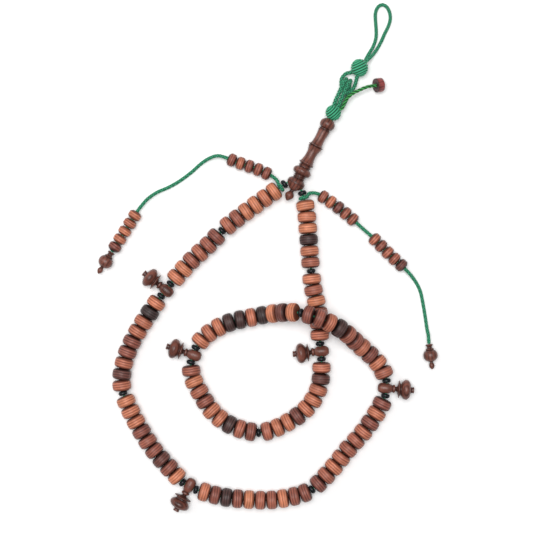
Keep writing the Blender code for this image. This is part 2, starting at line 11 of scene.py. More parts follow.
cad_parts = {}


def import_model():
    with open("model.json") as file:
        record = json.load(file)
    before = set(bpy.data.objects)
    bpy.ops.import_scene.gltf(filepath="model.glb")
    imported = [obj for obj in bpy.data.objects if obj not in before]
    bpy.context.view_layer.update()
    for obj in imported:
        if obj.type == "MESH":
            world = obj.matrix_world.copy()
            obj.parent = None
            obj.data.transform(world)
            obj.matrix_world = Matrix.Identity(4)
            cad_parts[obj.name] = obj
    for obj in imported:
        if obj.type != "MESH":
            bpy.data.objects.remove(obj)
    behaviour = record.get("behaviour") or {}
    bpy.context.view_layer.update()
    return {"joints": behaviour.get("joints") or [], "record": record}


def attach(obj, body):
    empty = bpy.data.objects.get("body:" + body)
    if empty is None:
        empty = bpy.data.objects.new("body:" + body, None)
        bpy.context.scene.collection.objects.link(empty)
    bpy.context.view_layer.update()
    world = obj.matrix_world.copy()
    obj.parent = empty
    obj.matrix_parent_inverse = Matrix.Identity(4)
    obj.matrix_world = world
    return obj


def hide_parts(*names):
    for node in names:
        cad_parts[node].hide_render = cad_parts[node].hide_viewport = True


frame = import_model()
scene = bpy.context.scene
scene.view_settings.view_transform = "Standard"
scene.view_settings.look = "None"
mm = 0.001
up = Vector((0, 0, 1))
dice = random.Random(100)
bodyOf = {node: body for body, nodes in frame["record"]["behaviour"]["bodies"].items() for node in nodes}
jointOf = {joint["child"]: joint for joint in frame["joints"]}

# sizes of the threaded pieces, in millimetres
strand = {
    "sections": (12, 18, 20, 20, 18, 12),
    "beadLength": 4.9,
    "beadLand": 3.12,
    "beadWidth": 8.0,
    "spacerLength": 1.9,
    "markerDrum": 2.05,
    "markerBulb": (8.6, 4.3),
    "markerSides": (-1, -1, -1, -1, 1),
    "eye": 1.6,
    "gap": 0.3,
    "stringRadius": 0.5,
}
imame = {"tip": (7.8, 24.3), "angle": math.radians(61.8), "height": 4.0, "length": 39.5, "mouth": (6.6, 3.75)}

# the string's way between the imame's mouths: x, y, and its rise over a crossing
strandRoute = [
    (3.1, 28.6, 0), (-5.1, 22.8, 0), (-13.2, 16.8, 0), (-19.7, 11.6, 0),
    (-25.5, 5.4, 0), (-32.9, -1.2, 0), (-39.6, -8.7, 0), (-43.8, -13.6, 0), (-47.9, -19.2, 0),
    (-53.4, -27.4, 0), (-58.5, -36.0, 0), (-62.1, -45.2, 0), (-63.2, -55.8, 0),
    (-59.1, -66.7, 0), (-54.4, -75.3, 0), (-49.0, -83.6, 0), (-42.4, -90.9, 0),
    (-35.4, -98.2, 0), (-28.8, -100.7, 0), (-19.5, -103.2, 0), (-9.8, -104.2, 0),
    (0.5, -104.6, 0), (10.0, -103.1, 0), (18.2, -100.3, 0), (27.6, -90.9, 0),
    (33.7, -83.1, 0), (40.3, -75.9, 0), (46.1, -67.7, 0), (49.0, -62.8, 0), (50.7, -57.6, 0),
    (50.6, -52.5, 0), (48.7, -47.7, 0), (45.3, -43.5, 0), (37.9, -36.9, 0.18), (31.5, -31.1, 0.72),
    (23.0, -26.5, 1), (18.5, -25.0, 0.99), (11.5, -23.5, 0.72), (1.5, -24.3, 0.08), (-7.9, -26.1, 0),
    (-17.5, -28.3, 0), (-25.7, -32.7, 0), (-29.8, -36.7, 0), (-32.6, -41.7, 0),
    (-33.5, -47.4, 0), (-32.4, -53.2, 0), (-29.6, -57.9, 0), (-24.3, -66.5, 0), (-16.0, -72.6, 0),
    (-6.4, -75.4, 0), (0.3, -74.8, 0), (9.2, -70.6, 0), (17.4, -64.2, 0), (22.1, -55.2, 0),
    (22.8, -44.8, 0), (22.2, -38.6, 0), (22.0, -32.6, 0), (21.3, -22.1, 0), (19.0, -13.1, 0),
    (18.2, -4.6, 0), (17.2, 8.5, 0), (16.4, 18.4, 0), (15.7, 23.4, 0),
]  # fmt: skip
cordRadius = 0.8
# heights of a cord on the table, in its beads and at its pendant
lying, threaded, hung = cordRadius, 2.8, 3.1
counters = {
    "left": {
        "route": [
            (3.4, 33.3, 3.4), (0.7, 35.3, threaded), (-5.1, 38.0, threaded),
            (-12.9, 40.6, threaded), (-18.6, 42.9, threaded), (-22.3, 43.6, threaded),
            (-26.2, 42.3, 1.5), (-29.6, 40.0, lying), (-33.4, 36.6, lying), (-38.4, 32.9, lying),
            (-43.3, 30.1, lying), (-48.2, 27.9, 1.4), (-52.1, 25.0, threaded),
            (-55.2, 21.5, threaded), (-57.0, 18.9, threaded), (-61.4, 11.9, threaded),
            (-65.8, 5.0, threaded), (-66.9, 3.2, hung), (-67.4, 2.3, hung),
        ],
        "groups": (5.3, -20.4),
        "tones": "6564634336",
    },
    "right": {
        "route": [
            (17.6, 27.4, 3.2), (20.4, 27.5, threaded), (23.2, 26.2, threaded),
            (30.4, 21.1, threaded), (36.5, 16.0, threaded), (40.9, 12.0, threaded),
            (45.4, 8.0, threaded), (51.0, 2.2, threaded), (56.9, -3.2, threaded),
            (59.6, -5.9, threaded), (61.6, -8.1, 2.3), (64.0, -11.3, lying), (65.7, -15.0, lying),
            (66.8, -20.0, lying), (67.8, -26.0, lying), (68.5, -31.0, 1.2), (68.9, -33.8, 2.8),
            (69.05, -36.3, hung), (69.1, -37.3, hung),
        ],
        "groups": (6.3, 35.1),
        "tones": "5375546557",
    },
}  # fmt: skip
# what lies above the imame: x and y from its top end, z from the table
topKnotAt = (12.7, 22.3, 3.7)
pairRoute = [
    (2.1, 4.1, 4.4), (3.1, 7.3, 4.9), (4.7, 10.9, 5.0), (6.1, 14.1, 4.9),
    (7.4, 16.3, 4.3), (8.0, 17.2, 2.9), (7.8, 16.2, 1.3), (7.4, 13.7, 0.9),
    (6.7, 10.7, 0.9), (5.4, 7.5, 1.5), (3.4, 4.8, 2.6),
]  # fmt: skip
linkRoute = [
    (12.1, 21.5, 3.3), (9.6, 20.5, 3.0), (7.0, 19.9, 2.9), (5.2, 17.9, 2.75),
    (4.9, 15.2, 2.55), (5.4, 12.9, 2.7), (6.9, 11.6, 2.9), (8.9, 12.2, 2.8),
    (10.5, 14.3, 2.7), (11.3, 16.8, 2.8), (11.9, 19.3, 3.0), (12.4, 21.3, 3.3),
]  # fmt: skip
hangingRoute = [
    (15.2, 25.5, 2.2), (16.5, 28.0, 1.2), (17.8, 30.2, lying), (18.9, 32.1, lying),
    (20.0, 35.6, lying), (20.1, 39.1, lying), (19.8, 43.3, lying), (19.8, 46.5, lying),
    (20.9, 49.0, lying), (22.8, 50.0, lying), (24.7, 49.0, lying), (25.9, 46.7, lying),
    (26.2, 43.8, lying), (25.4, 40.8, lying), (23.7, 37.3, lying), (22.3, 34.1, lying),
    (20.7, 31.2, 0.9), (18.7, 28.3, 2.4), (16.4, 25.8, 4.5),
]  # fmt: skip
tailRoute = [
    (5.3, 4.9, 4.7), (6.2, 7.1, 5.2), (7.3, 8.9, 5.3), (8.7, 10.3, 5.4),
    (10.5, 11.5, 5.4), (12.5, 12.4, 5.5), (14.5, 13.3, 5.6), (16.5, 14.0, 5.3),
]  # fmt: skip


def smoothPath(points, lowest=lying, steps=12):
    # a curve through all points that stays above the lowest height
    given = np.array(points, float)
    given = np.vstack([2 * given[0] - given[1], given, 2 * given[-1] - given[-2]])
    dense = []
    for before, start, end, after in zip(given, given[1:], given[2:], given[3:]):
        for t in np.arange(steps) / steps:
            dense.append(
                start
                + t * (end - before) / 2
                + t * t * (before - 2.5 * start + 2 * end - after / 2)
                + t**3 * (1.5 * (start - end) + (after - before) / 2)
            )
    path = np.array([*dense, given[-2]])
    path[:, 2] = np.maximum(path[:, 2], lowest)
    return path


def lengthsAlong(path):
    return np.concatenate([[0], np.cumsum(np.linalg.norm(np.diff(path, axis=0), axis=1))])


def pointAt(path, distance):
    along = lengthsAlong(path)
    return Vector([np.interp(distance, along, path[:, axis]) for axis in range(3)])


def headingAt(path, distance, reach=1.0):
    return (pointAt(path, distance + reach) - pointAt(path, distance - reach)).normalized()


def evenPoints(path, spacing):
    along = lengthsAlong(path)
    stations = np.linspace(0, along[-1], max(2, round(along[-1] / spacing)) + 1)
    return np.column_stack([np.interp(stations, along, path[:, axis]) for axis in range(3)])


def imamePoint(along, aside=0.0):
    cos, sin = math.cos(imame["angle"]), math.sin(imame["angle"])
    x, y = imame["tip"]
    return Vector((x + along * cos - aside * sin, y + along * sin + aside * cos, imame["height"]))


def aboveImame(point):
    top = imamePoint(imame["length"])
    return (top.x + point[0], top.y + point[1], point[2])


def planStrand():
    # the pieces in the order in which they are threaded, each with its place along the string
    plan = {"beads": [], "spacers": [], "eyes": [], "markers": []}
    gap, spacer = strand["gap"], strand["spacerLength"]
    cursor = 0.0

    def put(kind, name, length, side=0):
        nonlocal cursor
        plan[kind].append((name, cursor + length / 2, side))
        cursor += length + gap

    put("spacers", "imame_spacer_left", spacer)
    put("eyes", "left", strand["eye"])
    for number, count in enumerate(strand["sections"], 1):
        for half in "ab":
            for bead in range(count // 2):
                plan["beads"].append((f"{number}{half}", bead, cursor))
                cursor += strand["beadLength"]
            if half == "a":
                plan["spacers"].append((f"spacer_{number}_mid", cursor + spacer / 2, 0))
                cursor += spacer
            cursor += gap
        if number < len(strand["sections"]):
            put("spacers", f"spacer_{number}_in", spacer, 1)
            put("markers", f"marker_{number}", 2 * strand["markerDrum"])
            put("spacers", f"spacer_{number}_out", spacer, -1)
    put("eyes", "right", strand["eye"])
    put("spacers", "imame_spacer_right", spacer)
    plan["length"] = cursor - gap
    return plan


def fitStrand(length):
    # spreads the route about the imame's mouths until it is as long as its threaded pieces
    ends = [(*imamePoint(imame["mouth"][0], side * imame["mouth"][1])[:2], 0) for side in (1, -1)]
    route = np.array([ends[0], *strandRoute, ends[1]])
    centre = (route[0, :2] + route[-1, :2]) / 2
    half = strand["beadWidth"] / 2
    heights = half + (2 * half + 3 * strand["gap"]) * route[:, 2]
    factor, rounds = 1.0, 6
    for _ in range(rounds):
        spread = centre + factor * (route[:, :2] - centre)
        spread[[0, -1]] = route[[0, -1], :2]
        path = smoothPath(np.column_stack([spread, heights]), half)
        slope = np.gradient(path[:, 2], lengthsAlong(path))
        path[:, 2] += strand["beadLand"] / 2 * np.abs(slope)
        factor *= length / lengthsAlong(path)[-1]
    return path


plan = planStrand()
strandPath = fitStrand(plan["length"])
firstSpacer = pointAt(strandPath, plan["spacers"][0][1]) * mm
shift = Vector(jointOf["imame_spacer_left"]["pos_m"]) - firstSpacer


def world(point):
    return Vector(point) * mm + shift


def facing(origin, zAxis, xHint=up):
    z = zAxis.normalized()
    y = z.cross(xHint).normalized()
    placed = Matrix((y.cross(z), y, z)).transposed().to_4x4()
    placed.translation = world(origin)
    return placed


# ---- camera, table and light

view = {"centre": (-0.86, -4.1), "across": 229.2, "lens": 85, "sensor": 36, "height": 4.0}
camera = bpy.data.objects.new("camera", bpy.data.cameras.new("camera"))
scene.collection.objects.link(camera)
camera.data.lens = view["lens"]
camera.data.sensor_width = view["sensor"]
camera.data.clip_start = 0.01
camera.location = world((*view["centre"], view["height"] + view["across"] * view["lens"] / view["sensor"]))
scene.camera = camera

tableTop = {"size": 3.0, "colour": (0.95, 0.95, 0.95), "roughness": 0.9, "specular": 0.1}
topMesh = bpy.data.meshes.new("table_top")
shape = bmesh.new()
bmesh.ops.create_grid(shape, x_segments=1, y_segments=1, size=tableTop["size"])
shape.to_mesh(topMesh)
shape.free()
tableObject = bpy.data.objects.new("table_top", topMesh)
scene.collection.objects.link(tableObject)
paper = bpy.data.materials.new("whitePaper")
paper.use_nodes = True
paperInputs = paper.node_tree.nodes["Principled BSDF"].inputs
paperInputs["Base Color"].default_value = (*tableTop["colour"], 1)
paperInputs["Roughness"].default_value = tableTop["roughness"]
paperInputs["Specular IOR Level"].default_value = tableTop["specular"]
topMesh.materials.append(paper)

lamps = [
    {"name": "overhead", "at": (-0.04, 0.08, 1.0), "size": 0.6, "power": 9.6},
    {"name": "left_softbox", "at": (-0.75, 0.45, 0.7), "size": 0.5, "power": 2.4},
]
studio = {"colour": (1, 1, 1, 1), "strength": 0.26}
for lamp in lamps:
    data = bpy.data.lights.new(lamp["name"], "AREA")
    data.size, data.energy = lamp["size"], lamp["power"]
    lampObject = bpy.data.objects.new(lamp["name"], data)
    lampObject.location = lamp["at"]
    lampObject.rotation_euler = Vector(lamp["at"]).to_track_quat("Z", "Y").to_euler()
    scene.collection.objects.link(lampObject)
scene.world = bpy.data.worlds.new("studio")
scene.world.use_nodes = True
scene.world.node_tree.nodes["Background"].inputs["Color"].default_value = studio["colour"]
scene.world.node_tree.nodes["Background"].inputs["Strength"].default_value = studio["strength"]
print("camera, table and light are set")


# ---- finishes


def nodeSetter(tree):
    def add(kind, **settings):
        node = tree.nodes.new(kind)
        links = settings.pop("inputs", {})
        for key, value in settings.items():
            setattr(node, key, value)
        for socket, value in links.items():
            if hasattr(value, "node"):
                tree.links.new(value, node.inputs[socket])
            else:
                node.inputs[socket].default_value = value
        return node

    return add


def ramp(add, factor, stops):
    node = add("ShaderNodeValToRGB", inputs={"Fac": factor})
    while len(node.color_ramp.elements) < len(stops):
        node.color_ramp.elements.new(0.5)
    for element, (place, colour) in zip(node.color_ramp.elements, stops):
        element.position = place
        element.color = (*colour, 1)
    return node.outputs["Color"]


def math2(add, operation, a, b=0.0, clamp=False):
    node = add("ShaderNodeMath", operation=operation, use_clamp=clamp, inputs={0: a, 1: b})
    return node.outputs[0]


# places of the mix node's sockets that work on colours
mixSockets = {"factor": 0, "a": 6, "b": 7, "result": 2}


def mixColour(add, factor, a, b):
    node = add("ShaderNodeMix", data_type="RGBA")
    for key, value in (("factor", factor), ("a", a), ("b", b)):
        socket = node.inputs[mixSockets[key]]
        if hasattr(value, "node"):
            node.id_data.links.new(value, socket)
        else:
            socket.default_value = value if key == "factor" else (*value, 1)
    return node.outputs[mixSockets["result"]]


def scaleColour(add, colour, factor):
    return add("ShaderNodeVectorMath", operation="SCALE", inputs={0: colour, "Scale": factor}).outputs[0]


def mapRange(add, value, fromLow=0.0, fromHigh=1.0, toLow=0.0, toHigh=1.0):
    limits = dict(enumerate((value, fromLow, fromHigh, toLow, toHigh)))
    return add("ShaderNodeMapRange", inputs=limits).outputs[0]


def newGroup(name, ins, outs):
    tree = bpy.data.node_groups.new(name, "ShaderNodeTree")
    for label, kind, value in ins:
        socket = tree.interface.new_socket(label, in_out="INPUT", socket_type=f"NodeSocket{kind}")
        if value is not None:
            socket.default_value = value
    for label, kind in outs:
        tree.interface.new_socket(label, in_out="OUTPUT", socket_type=f"NodeSocket{kind}")
    add = nodeSetter(tree)
    return tree, add, add("NodeGroupInput").outputs, add("NodeGroupOutput").inputs


def makeWoodFigure():
    # growth lines that cross the grain vector's z, pale bands between them brightened as painted highlight,
    # with pores and slow colour drift
    tree, add, given, result = newGroup(
        "woodFigure",
        [
            ("Grain", "Vector", None), ("Spacing", "Float", 0.85), ("Waver", "Float", 2.4),
            ("Contrast", "Float", 1.0),
        ],
        [("Line", "Float"), ("PaleBandSheen", "Float"), ("Pore", "Float"), ("Drift", "Float"), ("Height", "Float")],
    )  # fmt: skip
    slow = add("ShaderNodeTexNoise", inputs={"Vector": given["Grain"], "Scale": 0.22, "Detail": 2.0})
    # at scale 1 the bands repeat every tau / 20 units
    scale = math2(add, "DIVIDE", math.tau / 20, given["Spacing"])
    bands = add("ShaderNodeTexWave", wave_type="BANDS", bands_direction="Z", wave_profile="SIN", inputs={
        "Vector": given["Grain"], "Scale": scale, "Distortion": given["Waver"], "Detail": 3.0,
        "Detail Scale": 0.9, "Detail Roughness": 0.6,
    })  # fmt: skip
    flat = add("ShaderNodeMapping", inputs={"Vector": given["Grain"], "Scale": (0.1, 0.1, 1.0)})
    weight = add("ShaderNodeTexNoise", inputs={"Vector": flat.outputs[0], "Scale": 0.9, "Detail": 2.0})
    strong = mapRange(add, weight.outputs["Fac"], 0.34, 0.58, 0.15, 1.0)
    thin = mapRange(add, bands.outputs["Fac"], 0.5, 0.86)
    line = math2(add, "MULTIPLY", math2(add, "MULTIPLY", thin, strong), given["Contrast"], clamp=True)
    # pale bands between the lines: grain, brightened as a painted highlight on its ridges
    pale = mapRange(add, bands.outputs["Fac"], 0.4, 0.08)
    streak = add("ShaderNodeMapping", inputs={"Vector": given["Grain"], "Scale": (0.9, 0.9, 8.0)})
    pores = add("ShaderNodeTexNoise", inputs={"Vector": streak.outputs[0], "Scale": 1.5, "Detail": 2.0})
    pore = mapRange(add, pores.outputs["Fac"], 0.56, 0.7)
    sunk = math2(add, "ADD", math2(add, "MULTIPLY", line, 0.6), math2(add, "MULTIPLY", pore, 0.4))
    made = {
        "Line": line, "PaleBandSheen": pale, "Pore": pore, "Drift": slow.outputs["Fac"],
        "Height": math2(add, "SUBTRACT", 1.0, sunk),
    }  # fmt: skip
    for label, value in made.items():
        tree.links.new(value, result[label])
    return tree


woodFigure = makeWoodFigure()


def newMaterial(name):
    made = bpy.data.materials.new(name)
    made.use_nodes = True
    return made, nodeSetter(made.node_tree), made.node_tree.nodes["Principled BSDF"]


def link(value, shader, socket):
    shader.id_data.links.new(value, shader.inputs[socket])


def addBump(add, shader, height, strength, distance):
    bump = add("ShaderNodeBump", inputs={"Height": height, "Strength": strength, "Distance": distance})
    link(bump.outputs[0], shader, "Normal")


def attributeOf(add, name, output="Fac"):
    return add("ShaderNodeAttribute", attribute_name=name).outputs[output]


def woodColour(add, shader, figure, body, dark, rim, rimShade, finish):
    # lines and pores darken the body colour, which drifts slowly; painted shade darkens it at the rims, in
    # grooves and where pieces meet
    drift = mapRange(add, figure["Drift"], 0.3, 0.7, *finish["drift"])
    lined = mixColour(add, figure["Line"], body, dark)
    pored = mixColour(add, math2(add, "MULTIPLY", figure["Pore"], finish["pores"]), lined, dark)
    shade = scaleColour(add, pored, drift)
    link(mixColour(add, math2(add, "MULTIPLY", rim, finish["rim"]), shade, rimShade), shader, "Base Color")
    rough = mapRange(add, figure[finish["roughBy"]], 0.0, 1.0, *finish["roughness"])
    link(rough, shader, "Roughness")
    shader.inputs["Specular IOR Level"].default_value = finish["specular"]
    addBump(add, shader, figure["Height"], *finish["bump"])


# body and line colours by tone, from the palest bead to the darkest
beadFinish = {
    "body": [
        (0.0, (0.57, 0.218, 0.115)), (0.25, (0.485, 0.17, 0.096)), (0.45, (0.365, 0.12, 0.076)),
        (0.65, (0.215, 0.068, 0.05)), (0.85, (0.08, 0.036, 0.032)), (1.0, (0.045, 0.028, 0.027)),
    ],
    "dark": [
        (0.0, (0.27, 0.065, 0.03)), (0.25, (0.20, 0.042, 0.024)), (0.45, (0.12, 0.026, 0.018)),
        (0.65, (0.05, 0.014, 0.012)), (0.85, (0.017, 0.010, 0.010)), (1.0, (0.010, 0.008, 0.008)),
    ],
    # how much the pale grain bands gain as painted highlight
    "spacing": 1.05, "waver": 1.9, "contrast": 0.68, "paleBandSheen": 0.28, "pores": 0.4, "drift": (0.82, 1.18),
    # strength and colour of the painted shade at the bead ends
    "rim": 0.9, "rimShade": 0.36, "roughBy": "Line", "roughness": (0.4, 0.6), "specular": 0.3,
    "bump": (0.6, 0.00012),
}  # fmt: skip
turnedFinish = {
    # strength and colour of the painted shade in the turned pieces' grooves
    "waver": 3.0, "contrast": 0.75, "pores": 0.5, "drift": (0.7, 1.35), "rim": 0.85, "rimShade": 0.6,
    "roughBy": "Pore", "roughness": (0.34, 0.5), "specular": 0.4, "bump": (0.35, 0.0001),
}  # fmt: skip
yarnFinish = {
    "roughness": 0.7, "sheen": 0.15, "sheenRoughness": 0.4, "specular": 0.25, "bump": (0.6, 0.00006),
}  # fmt: skip


def figureOf(add, grain, spacing, finish):
    return add("ShaderNodeGroup", node_tree=woodFigure, inputs={
        "Grain": grain, "Spacing": spacing, "Waver": finish["waver"], "Contrast": finish["contrast"],
    }).outputs  # fmt: skip


def makeBeadWood():
    made, add, shader = newMaterial("beadWood")
    grain, rim, tone = attributeOf(add, "grain", "Vector"), attributeOf(add, "rim"), attributeOf(add, "tone")
    figure = figureOf(add, grain, beadFinish["spacing"], beadFinish)
    body = ramp(add, tone, beadFinish["body"])
    dark = ramp(add, tone, beadFinish["dark"])
    # painted highlight on the pale grain bands
    paleBandSheen = math2(add, "ADD", math2(add, "MULTIPLY", figure["PaleBandSheen"], beadFinish["paleBandSheen"]), 1.0)
    # colour of the painted shade at the bead ends
    rimShade = scaleColour(add, dark, beadFinish["rimShade"])
    woodColour(add, shader, figure, scaleColour(add, body, paleBandSheen), dark, rim, rimShade, beadFinish)
    return made


def makePolishedWood(name, body, dark, spacing):
    made, add, shader = newMaterial(name)
    grain, rim = attributeOf(add, "grain", "Vector"), attributeOf(add, "rim")
    turned = add("ShaderNodeMapping", inputs={"Vector": grain, "Rotation": (math.pi / 2, 0, 0.3)})
    figure = figureOf(add, turned.outputs[0], spacing, turnedFinish)
    # colour of the painted shade in the grooves and at the ends
    rimShade = tuple(turnedFinish["rimShade"] * channel for channel in dark)
    woodColour(add, shader, figure, body, dark, rim, rimShade, turnedFinish)
    return made


def makeJet():
    made, add, shader = newMaterial("blackGlass")
    place = add("ShaderNodeTexCoord").outputs["Object"]
    haze = add("ShaderNodeTexNoise", inputs={"Vector": place, "Scale": 900.0, "Detail": 3.0}).outputs["Fac"]
    colour = ramp(add, haze, [(0.3, (0.004, 0.005, 0.006)), (0.75, (0.02, 0.024, 0.028))])
    link(colour, shader, "Base Color")
    link(mapRange(add, haze, 0.35, 0.7, 0.2, 0.36), shader, "Roughness")
    shader.inputs["Specular IOR Level"].default_value = 0.22
    return made


def makeYarn(name, light, dark, fuzz):
    made, add, shader = newMaterial(name)
    place = add("ShaderNodeTexCoord").outputs["Object"]
    yarn, depth = attributeOf(add, "yarn"), attributeOf(add, "depth")
    noise = {"Vector": place, "Scale": fuzz, "Detail": 3.0, "Roughness": 0.7}
    fibre = add("ShaderNodeTexNoise", inputs=noise).outputs["Fac"]
    mixed = math2(add, "ADD", math2(add, "MULTIPLY", yarn, 0.7), math2(add, "MULTIPLY", fibre, 0.5))
    crest = tuple(1.15 * channel + 0.01 for channel in light)
    base = ramp(add, mixed, [(0.15, dark), (0.62, light), (1.0, crest)])
    # painted shade deep between the yarns, by the depth mask
    link(mixColour(add, depth, base, tuple(0.3 * channel for channel in dark)), shader, "Base Color")
    shader.inputs["Roughness"].default_value = yarnFinish["roughness"]
    shader.inputs["Sheen Weight"].default_value = yarnFinish["sheen"]
    shader.inputs["Sheen Roughness"].default_value = yarnFinish["sheenRoughness"]
    shader.inputs["Specular IOR Level"].default_value = yarnFinish["specular"]
    addBump(add, shader, fibre, *yarnFinish["bump"])
    return made


beadWood = makeBeadWood()
turnedWood = makePolishedWood("turnedWood", (0.165, 0.055, 0.038), (0.04, 0.014, 0.011), 1.5)
redWood = makePolishedWood("redWood", (0.27, 0.055, 0.05), (0.05, 0.016, 0.02), 1.1)
jet = makeJet()
braidYarn = makeYarn("greenYarn", (0.042, 0.35, 0.18), (0.006, 0.10, 0.052), 2600.0)
tailYarn = makeYarn("tailYarn", (0.05, 0.36, 0.08), (0.005, 0.09, 0.022), 2200.0)
print("finishes are mixed")


# ---- shared ways of making a piece


def keep(name, mesh, finish, node):
    piece = bpy.data.objects.new(name, mesh)
    scene.collection.objects.link(piece)
    if not mesh.materials:
        mesh.materials.append(finish)
    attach(piece, bodyOf[node])
    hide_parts(node)
    return piece


def setAttribute(mesh, name, values, kind="FLOAT", domain="POINT"):
    made = mesh.attributes.new(name, kind, domain)
    flat = np.ascontiguousarray(values, np.float32).ravel()
    made.data.foreach_set("vector" if kind == "FLOAT_VECTOR" else "value", flat)


def corners(mesh):
    flat = np.empty(3 * len(mesh.vertices), np.float32)
    mesh.vertices.foreach_get("co", flat)
    return flat.reshape(-1, 3)


# how far the grain of one piece may lie from another's, its lean, and the angle of a sharp edge
turning = {"grainSpread": 60, "lean": 7, "sharp": math.radians(38)}


def turnedMesh(name, outline, sides, rims, closed=False, tone=0.5):
    # outline is (place, radius) from the low end up; rims are the stretches painted with shade, in grooves
    # and where pieces meet
    shape = bmesh.new()
    points = [shape.verts.new((radius * mm, 0, place * mm)) for place, radius in outline]
    edges = [shape.edges.new(pair) for pair in zip(points, points[1:])]
    if closed:
        edges.append(shape.edges.new((points[-1], points[0])))
    bmesh.ops.spin(
        shape, geom=points + edges, cent=(0, 0, 0), axis=(0, 0, 1), angle=math.tau, steps=sides,
        use_merge=True,
    )  # fmt: skip
    bmesh.ops.remove_doubles(shape, verts=shape.verts, dist=1e-7)
    bmesh.ops.recalc_face_normals(shape, faces=shape.faces)
    mesh = bpy.data.meshes.new(name)
    shape.to_mesh(mesh)
    shape.free()
    places = corners(mesh) / mm
    offset = np.array([dice.uniform(-turning["grainSpread"], turning["grainSpread"]) for _ in range(3)])
    lean = Matrix.Rotation(math.radians(dice.uniform(-turning["lean"], turning["lean"])), 3, "X")
    setAttribute(mesh, "grain", places @ np.array(lean).T + offset, "FLOAT_VECTOR")
    setAttribute(mesh, "tone", np.full(len(places), tone))
    # mask of the painted shade along the outline
    rimShade = [np.interp(z, [a for a, _ in rims], [b for _, b in rims]) for z in places[:, 2]]
    setAttribute(mesh, "rim", rimShade)
    mesh.shade_smooth()
    mesh.set_sharp_from_angle(angle=turning["sharp"])
    return mesh


def evaluatedMesh(holder):
    bpy.context.view_layer.update()
    return bpy.data.meshes.new_from_object(holder.evaluated_get(bpy.context.evaluated_depsgraph_get()))


def tubes(name, lines, radius, sides=6, cyclic=False):
    # one mesh with a tube along each line; the faces of each line keep its number
    curve = bpy.data.curves.new(name, "CURVE")
    curve.dimensions = "3D"
    curve.twist_mode = "MINIMUM"
    curve.bevel_depth = radius * mm
    curve.bevel_resolution = (sides - 4) // 2
    curve.use_fill_caps = not cyclic
    for number, line in enumerate(lines):
        spline = curve.splines.new("POLY")
        spline.points.add(len(line) - 1)
        spline.points.foreach_set("co", np.column_stack([np.array(line) * mm, np.ones(len(line))]).ravel())
        spline.use_cyclic_u = cyclic
        spline.material_index = number
    holder = bpy.data.objects.new(name, curve)
    scene.collection.objects.link(holder)
    for _ in lines:
        curve.materials.append(None)
    mesh = evaluatedMesh(holder)
    bpy.data.objects.remove(holder)
    bpy.data.curves.remove(curve)
    return mesh


def framesAlong(points):
    # a frame at each point that turns as little as it can
    ahead = np.gradient(points, axis=0)
    ahead /= np.linalg.norm(ahead, axis=1)[:, None]
    side = np.cross(ahead[0], (0, 0, 1))
    if np.linalg.norm(side) < 0.1:
        side = np.cross(ahead[0], (1, 0, 0))
    sides = []
    for direction in ahead:
        side = side - direction * side.dot(direction)
        side = side / np.linalg.norm(side)
        sides.append(side)
    sides = np.array(sides)
    return sides, np.cross(ahead, sides)


def woundLines(points, count, turns, around, wave=0.0, waves=0):
    # helical lines round a path; negative turns wind the other way
    sides, ups = framesAlong(points)
    along = lengthsAlong(points)
    share = along / along[-1]
    lines = []
    for number in range(count):
        own = math.tau * turns * share
        angle = math.tau * number / count + own
        reach = around + wave * np.cos(waves * np.abs(own) + math.pi * number)
        across, rise = (np.cos(angle) * reach)[:, None], (np.sin(angle) * reach)[:, None]
        lines.append(points + across * sides + rise * ups)
    return lines


def yarnMesh(
    name, lines, radius, tones, spine, crest, valley, core=None, coreRadius=0.0, sides=6, cyclic=False,
):  # fmt: skip
    # crest and valley are the distances from the spine where a yarn is lit and lost in shadow
    mesh = tubes(name, lines, radius, sides, cyclic)
    shape = bmesh.new()
    shape.from_mesh(mesh)
    if core is not None:
        inner = tubes(f"{name}_core", [core], coreRadius, 8, cyclic)
        inner.polygons.foreach_set("material_index", np.full(len(inner.polygons), len(lines)))
        shape.from_mesh(inner)
        bpy.data.meshes.remove(inner)
    bmesh.ops.remove_doubles(shape, verts=shape.verts, dist=1e-7)
    shape.to_mesh(mesh)
    shape.free()
    number = np.empty(len(mesh.polygons), np.int32)
    mesh.polygons.foreach_get("material_index", number)
    setAttribute(mesh, "yarn", np.array([*tones, 0.0])[number], domain="FACE")
    nearest = KDTree(len(spine))
    for index, point in enumerate(spine):
        nearest.insert(point, index)
    nearest.balance()
    reach = np.array([nearest.find(corner)[2] for corner in corners(mesh) / mm])
    # painted shade where a yarn lies deep towards the spine
    setAttribute(mesh, "depth", np.clip((crest - reach) / (crest - valley), 0, 1))
    mesh.polygons.foreach_set("material_index", np.zeros(len(mesh.polygons), np.int32))
    mesh.materials.clear()
    mesh.transform(Matrix.Translation(shift))
    mesh.shade_smooth()
    return mesh


# four yarns wind each way, and each pair of neighbours swaps above and below; sizes for a 1.6 mm braid
braid = {
    "spacing": 0.2, "pitch": 4.4, "around": 0.51, "wave": 0.07, "yarn": 0.235, "core": 0.48,
    "crest": 0.79, "valley": 0.6, "tones": [0.95, 0.75, 1.0, 0.8, 0.3, 0.12, 0.25, 0.1],
}  # fmt: skip


def braidMesh(name, path, size=1.0):
    points = evenPoints(path, braid["spacing"] * size)
    turns = lengthsAlong(points)[-1] / (braid["pitch"] * size)
    around, wave = braid["around"] * size, braid["wave"] * size
    lines = woundLines(points, 4, turns, around, wave, 4) + woundLines(points, 4, -turns, around, -wave, 4)
    return yarnMesh(
        name, lines, braid["yarn"] * size, braid["tones"], evenPoints(path, 0.1), braid["crest"] * size,
        braid["valley"] * size, core=points, coreRadius=braid["core"] * size,
    )  # fmt: skip


def keepBraid(name, path, node, size=1.0):
    return keep(name, braidMesh(name, path, size), braidYarn, node)


# ---- counter cords, hanging loop and string, and where the knots are

